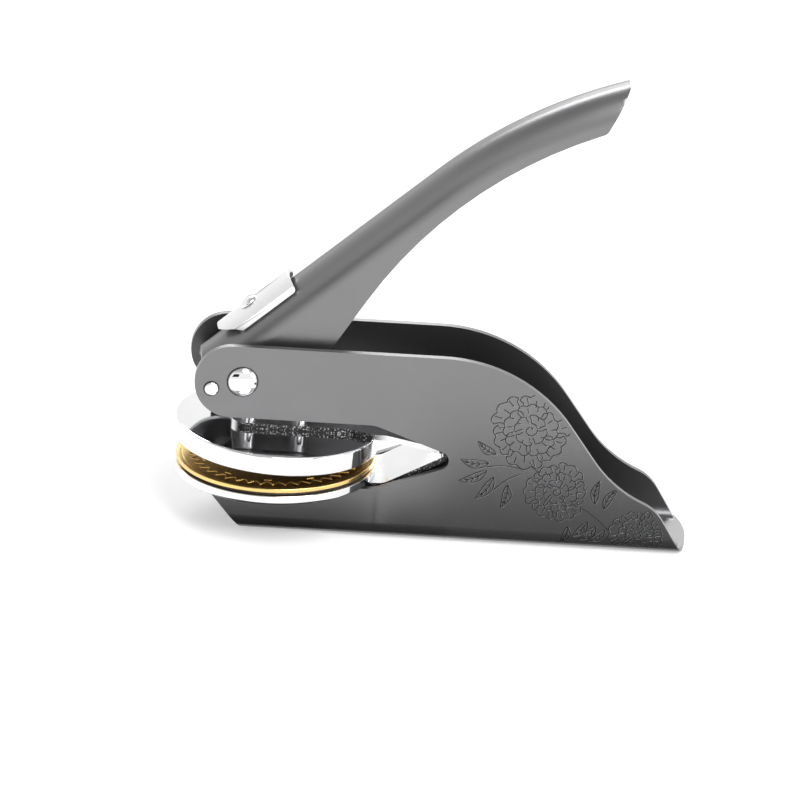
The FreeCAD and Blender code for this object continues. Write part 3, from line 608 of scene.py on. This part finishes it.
def make_upper_die():
    """The upturned cup with its deep rim, the counter-die in it and the stud that holds them."""
    cup, wall, top, seat, rim = 22.4, 1.5, 2.45, 1.25, -1.81
    finish(on_upper("upper_die_cup", [
        (STUD_SHANK, seat), (cup - wall, seat), (cup - wall, rim), (cup - 0.25, rim),
        (cup - 0.07, rim + 0.06), (cup, rim + 0.21), (cup, top - 0.45), (cup - 0.07, top - 0.2),
        (cup - 0.25, top - 0.05), (cup - 0.5, top), (STUD_SHANK, top), (STUD_SHANK, seat)]),
        CHROME, "upper_arm", ("upper_cup",))
    plate, face = 20.0, -2.89
    finish(on_upper("counter_plate", [
        (0, face), (plate - 0.5, face), (plate - 0.15, face + 0.11), (plate, face + 0.44), (plate, seat),
        (0, seat)]), RESIN, "upper_arm", ("counter_die",))
    base = top + CLIP_SHEET
    finish(on_upper("upper_stud", [(0, seat), (STUD_SHANK, seat), (STUD_SHANK, base)]
                    + dome(STUD_HEAD, base, STUD_RISE), steps=STUD_STEPS),
           CHROME, "upper_arm", ("upper_rivet",))


def dress_cad_nodes():
    """The clip's arms, posts and small steel parts keep their shapes and get their metals."""
    metals = {STEEL: ("pivot_bush", "pivot_spacer_near", "pivot_spacer_far", "lock_tongue", "pressure_plate"),
              LOWER_STRIP: ("lower_clip_arm",), UPPER_STRIP: ("upper_clip_arm",),
              CHROME: ("post_front_near", "post_front_far", "post_rear_near", "post_rear_far")}
    for metal, names in metals.items():
        for name in names:
            node = nodes[name]
            cover(node, metal)
            for polygon in node.data.polygons:
                polygon.use_smooth = True
            break_edges(node, width=0.1, angle=40)
            even_shading(node)


# ---- pressed lines ----------------------------------------------------------------------------------------
def press_lines(name, lines, radius, body, metal):
    """Thin smooth beads through lists of points in metres, made a mesh."""
    curve = bpy.data.curves.new(name, "CURVE")
    curve.dimensions, curve.use_fill_caps = "3D", True
    curve.bevel_depth, curve.bevel_resolution, curve.resolution_u = radius * MM, 1, 3
    for line in lines:
        spline = curve.splines.new("NURBS")
        spline.points.add(len(line) - 1)
        for point, target in zip(spline.points, line):
            point.co = (*target, 1)
        spline.order_u = 3
        spline.use_endpoint_u = True
    beads = bpy.data.objects.new(name, curve)
    bpy.context.scene.collection.objects.link(beads)
    activate(beads)
    bpy.ops.object.convert(target="MESH")
    cover(beads, metal)
    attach(beads, body)


class WallDrawing:
    """Lines on the near wall's face, cut where they would leave it."""

    MARGIN = 0.8

    def __init__(self, wall):
        self.wall = wall
        self.lines = []

    def face(self, x, z):
        """Where the wall's face is in front of (x, z), or nothing."""
        hit, spot, _, _ = self.wall.ray_cast(to_metres((x, -2 * WIDTH, z)), AXES["Y"])
        return spot.y / MM if hit and spot.y / MM < SHEET - HALF else None

    def holds(self, x, z):
        around = ((self.MARGIN, 0), (-self.MARGIN, 0), (0, self.MARGIN), (0, -self.MARGIN))
        return all(self.face(x + dx, z + dz) is not None for dx, dz in around)

    def add(self, points):
        """Keep the stretches of a line that the wall holds; a stretch needs three points."""
        stretch = []
        for point in list(points) + [None]:
            if point is not None and self.holds(*point):
                stretch.append(point)
                continue
            if len(stretch) > 2:
                self.lines.append(stretch)
            stretch = []

    def on_face(self, sink, dx=0.0, dz=0.0):
        """The lines in metres, sunk into the face and moved aside by dx and dz."""
        return [[to_metres((x + dx, self.face(x + dx, z + dz) + sink, z + dz)) for x, z in line]
                for line in self.lines]


def petal(draw_on, cx, cz, angle, spread, inner, outer, lobes, ticks, lean):
    """A petal: one side, a rim of round lobes, the other side, and short ticks inward from the rim."""
    side_steps, lobe_steps, tick_steps = 4, 8, 4
    left, right, shoulder = 0.1, 0.9, outer * 0.86
    rim, crown_rise, lobe_rise = 0.80, 0.12, 0.09

    def spot(t, r):
        a = angle + spread * (t - 0.5) + lean * (r / outer) ** 2
        return cx + r * math.cos(a), cz + r * math.sin(a)

    sides = [inner + (shoulder - inner) * k / side_steps for k in range(side_steps)]
    line = [spot(left, r) for r in sides]
    for lobe in range(lobes):
        for k in range(lobe_steps):
            t = (lobe + k / lobe_steps) / lobes
            swell = math.sin(math.pi * (k + 0.5) / lobe_steps)
            crown = math.sin(math.pi * min(max(t, 0.04), 0.96)) ** 0.35
            line.append(spot(t, outer * (rim + crown_rise * crown + lobe_rise * swell)))
    draw_on.add(line + [spot(right, r) for r in reversed(sides)])
    for k in range(ticks):
        low = 0.66 if k % 2 else 0.74
        draw_on.add([spot((k + 1) / (ticks + 1), outer * (low + 0.06 * j)) for j in range(tick_steps)])


def blossom(draw_on, cx, cz, size, turn):
    """A full round flower: a curled heart, two rings of cupped petals and a wide frilled skirt."""
    heart, heart_steps, heart_turns = [], 26, 1.2
    for k in range(heart_steps + 1):
        t = k / heart_steps
        a = turn + heart_turns * FULL_TURN * t
        r = size * (0.05 + 0.15 * t + 0.01 * math.sin(9 * a))
        heart.append((cx + r * math.cos(a), cz + r * math.sin(a)))
    draw_on.add(heart)
    skirt = 6
    for count, first, spread, inner, outer, lobes, ticks, lean in (
            (4, 0.5, 1.5, 0.20, 0.42, 2, 1, 0.3), (5, 1.1, 1.32, 0.42, 0.70, 3, 2, 0.16),
            (skirt, 0.0, 1.1, 0.68, 1.0, 3, 3, 0.1)):
        for k in range(count):
            uneven = 0.05 * (-1) ** k if count == skirt else 0.0
            petal(draw_on, cx, cz, turn + first + FULL_TURN * k / count, spread, inner * size,
                  (outer + uneven) * size, lobes, ticks, lean)


def leaf(draw_on, x, z, angle, length, width):
    """A pointed leaf from its stalk's end, with a middle line and side veins."""
    edge_steps, line_steps, line_end = 10, 6, 0.9
    ux, uz = math.cos(angle), math.sin(angle)

    def spot(t, s):
        bow = 0.10 * length * math.sin(math.pi * t)
        along, across = length * t, s * width * math.sin(math.pi * t ** 0.8) + bow
        return x + ux * along - uz * across, z + uz * along + ux * across

    there = [spot(k / edge_steps, -0.5) for k in range(edge_steps + 1)]
    back = [spot(k / edge_steps, 0.5) for k in range(edge_steps - 1, -1, -1)]
    draw_on.add(there + back)
    draw_on.add([spot(k / line_steps * line_end, 0.0) for k in range(line_steps + 1)])
    for t in (0.3, 0.5, 0.68):
        for side in (-0.3, 0.3):
            draw_on.add([spot(t, 0.0), spot(t + 0.05, side * 0.5), spot(t + 0.11, side)])


def stalk(draw_on, x, z, angle, length, bend):
    """A thin stalk that bends evenly along its length."""
    steps = 10
    line = [(x, z)]
    for _ in range(steps):
        x, z = x + math.cos(angle) * length / steps, z + math.sin(angle) * length / steps
        angle += bend / steps
        line.append((x, z))
    draw_on.add(line)


def press_flowers(wall):
    """A generic spray of three blossoms with leaves, pressed into the near wall."""
    spray = WallDrawing(wall)
    for flower in ((13.4, 27.7, 8.8, 0.35), (20.2, 13.6, 6.8, 1.0), (38.6, 4.4, 6.0, 0.75)):
        blossom(spray, *flower)
    for leaf_at in ((4.9, 19.4, 3.05, 6.4, 2.0), (4.6, 17.6, 3.55, 6.6, 2.0), (6.2, 16.2, 4.1, 6.4, 2.0),
                    (6.4, 21.6, 2.55, 5.2, 1.8), (9.4, 14.6, 4.5, 5.6, 1.9), (28.9, 11.3, 1.45, 5.6, 1.7),
                    (30.9, 10.2, 1.05, 5.6, 1.7), (27.6, 7.0, 4.0, 4.8, 1.7), (29.6, 6.0, 3.9, 5.0, 1.7),
                    (31.6, 5.2, 3.8, 4.8, 1.6), (23.4, 5.6, 4.4, 4.4, 1.6)):
        leaf(spray, *leaf_at)
    for stem in ((12.6, 18.4, 2.9, 8.2, 0.5), (12.0, 17.2, 3.5, 7.0, 0.6), (25.6, 10.4, -0.5, 8.6, -0.35),
                 (13.8, 20.4, -1.1, 3.6, 0.6)):
        stalk(spray, *stem)
    # The pressed lines are beads of dark lacquer: painted shade where the bottom of each line would lie in
    # shadow.
    press_lines("wall_ornament", spray.on_face(0.02), 0.11, "base", GROOVE_SHADE)
    # Painted highlight: pale beads set a little aside of each line, along the edge that would catch the
    # light.
    press_lines("ornament_painted_highlight", spray.on_face(0.035, 0.17, -0.15), 0.075, "base", RIDGE_HIGHLIGHT)


def raise_die_border():
    """A border of small sprigs raised on the die's face."""
    count, every, foot, reach, bar = 44, 4, 17.6, 1.7, 16.6
    bead, lean, half_bar = 0.13, 0.067, 0.05
    height, sprigs = DIE_FACE + 0.02, []
    to_die = (Matrix.Translation(to_metres(LOWER_DIE_AT))
              @ Matrix.Rotation(-math.radians(LOWER_TILT), 4, "Y") @ Matrix.Scale(MM, 4))

    def spot(radius, a):
        return to_die @ Vector((radius * math.cos(a), radius * math.sin(a), height))

    for k in range(count):
        a = FULL_TURN * k / count
        for way in (lean, -lean):
            sprigs.append([spot(foot + reach * t, a + way * (t + 0.1)) for t in (0.0, 0.5, 1.0)])
        if k % every == 0:
            sprigs.append([spot(bar, a + swing) for swing in (-half_bar, 0.0, half_bar)])
    press_lines("die_border", sprigs, bead, "base", BRASS)


# ---- floor, cards, lamps and camera -----------------------------------------------------------------
def stage_plane(name, centre, size, turn=(0, 0, 0)):
    """A flat sheet of the stage, with its size in millimetres and its turn in degrees."""
    bpy.ops.object.select_all(action="DESELECT")
    bpy.ops.mesh.primitive_plane_add(size=1, location=to_metres(centre),
                                     rotation=[math.radians(a) for a in turn])
    sheet = bpy.context.object
    sheet.name = sheet.data.name = name
    sheet.scale = (size[0] * MM, size[1] * MM, 1)
    bpy.ops.object.transform_apply(location=True, rotation=True, scale=True)
    return sheet


def plain(name, level, glow=0.0):
    """An even grey card; glow is what it shines with by itself."""
    made = bpy.data.materials.new(name)
    made.use_nodes = True
    shader = made.node_tree.nodes["Principled BSDF"]
    shader.inputs["Base Color"].default_value = (level, level, level, 1)
    shader.inputs["Roughness"].default_value = 1.0
    shader.inputs["Specular IOR Level"].default_value = 0.0
    shader.inputs["Emission Color"].default_value = (1, 1, 1, 1)
    shader.inputs["Emission Strength"].default_value = glow
    return made


def lay_floor():
    """White paper that stays white to the eye and in reflections, and keeps the object's shadow."""
    width, paper_level, paper_glow = 3000, 0.62, 0.36
    floor = stage_plane("floor", ORIGIN, (width, width))
    paper = plain("white_paper", paper_level)
    tree = paper.node_tree
    path = add_node(tree, "LightPath")
    seen = add_node(tree, "Math", {0: path.outputs["Is Camera Ray"], 1: path.outputs["Is Glossy Ray"]},
                    operation="MAXIMUM")
    glow = add_node(tree, "Math", {0: seen.outputs["Value"], 1: paper_glow}, operation="MULTIPLY")
    tree.links.new(glow.outputs["Value"], tree.nodes["Principled BSDF"].inputs["Emission Strength"])
    floor.data.materials.append(paper)


def hang_cards():
    """Studio cards that only gloss sees: dark ones darken the walls, a white one brightens the cups."""
    for name, centre, size, turn, level, glow in (
            ("card_front", (-32.5, -21.6, 0.15), (59, 24.8), (0, 0, 0), 0.06, 0.0),
            ("card_tail", (35, -34.6, 0.15), (76, 50.8), (0, 0, 0), 0.1, 0.0),
            ("card_rear", (-41, 28.5, 36.5), (26, 31), (90, 0, 0), 0.01, 0.0),
            ("card_rivet", (-250, -280, 135), (260, 110), (90, 0, -36), 0.02, 0.0),
            ("card_bounce", (-17.4, -31.5, 10.35), (33, 20.3), (90, 0, -85), 0.9, 0.5)):
        card = stage_plane(name, centre, size, turn)
        card.data.materials.append(plain(name, level, glow))
        card.visible_camera = card.visible_shadow = card.visible_diffuse = False


def light_sky():
    """White all round the horizon and greyer overhead, so that the tops have a slope of tone."""
    world = bpy.data.worlds.new("studio")
    bpy.context.scene.world = world
    world.use_nodes = True
    tree = world.node_tree
    height = add_node(tree, "SeparateXYZ", {"Vector": add_node(tree, "TexCoord").outputs["Generated"]})
    shade = add_node(tree, "ValToRGB", {"Fac": height.outputs["Z"]})
    stops = shade.color_ramp.elements
    stops[0].position, stops[0].color = 0.0, (1, 1, 1, 1)
    stops[1].position, stops[1].color = 1.0, (0.5, 0.5, 0.5, 1)
    for position, level in ((0.46, 1.0), (0.66, 0.66), (0.8, 0.5)):
        stops.new(position).color = (level, level, level, 1)
    tree.links.new(shade.outputs["Color"], tree.nodes["Background"].inputs["Color"])


def hang_lamp(name, spot, target, size, power):
    """A rectangular lamp turned to its target; places and sizes are in metres."""
    bpy.ops.object.light_add(type="AREA", location=spot)
    lamp = bpy.context.object
    lamp.name = lamp.data.name = name
    lamp.data.shape, lamp.data.size, lamp.data.size_y, lamp.data.energy = "RECTANGLE", *size, power
    lamp.rotation_euler = (Vector(target) - Vector(spot)).to_track_quat("-Z", "Y").to_euler()


def set_camera():
    """A long lens from far off, so that parallel edges stay parallel."""
    distance, sensor, aim = 5.0, 36.0, to_metres((-14.81, 1.61, 28.20))
    pixels_wide, pixels_per_mm = 800, 4.5617
    right = Vector((0.99561, -0.0467, 0.08109)).normalized()
    back = right.cross(Vector((-0.05808, 0.3709, 0.92688))).normalized()
    up = back.cross(right).normalized()
    bpy.ops.object.camera_add()
    camera = bpy.context.object
    camera.data.sensor_width = sensor
    camera.data.lens = pixels_per_mm * distance / MM * sensor / pixels_wide
    camera.data.clip_start, camera.data.clip_end = distance / 10, distance * 10
    axes = Matrix((right, up, back)).transposed()
    camera.matrix_world = Matrix.Translation(aim + back * distance) @ axes.to_4x4()
    bpy.context.scene.camera = camera


body_shell = make_channel()
make_lever()
make_lock()
make_lock_stud()
make_cross_rivet()
make_front_pin()
make_shadow_rings("rivet", PIVOT, RIVET_HEAD - 0.1)
make_shadow_rings("pin", PIN, PIN_END - 0.02)
make_lower_die()
make_upper_die()
dress_cad_nodes()
press_flowers(body_shell)
raise_die_border()

lay_floor()
hang_cards()
light_sky()
hang_lamp("key", (0.2, -0.5, 0.75), (0, 0, 0.03), (0.5, 0.5), 6.0)
hang_lamp("side", (0.7, -0.35, 0.35), (0, 0, 0.05), (0.4, 0.4), 2.5)
hang_lamp("rear", (-0.1, 0.7, 0.6), (0, 0, 0.05), (0.6, 0.3), 4.0)
set_camera()
bpy.context.scene.view_settings.view_transform = "Standard"
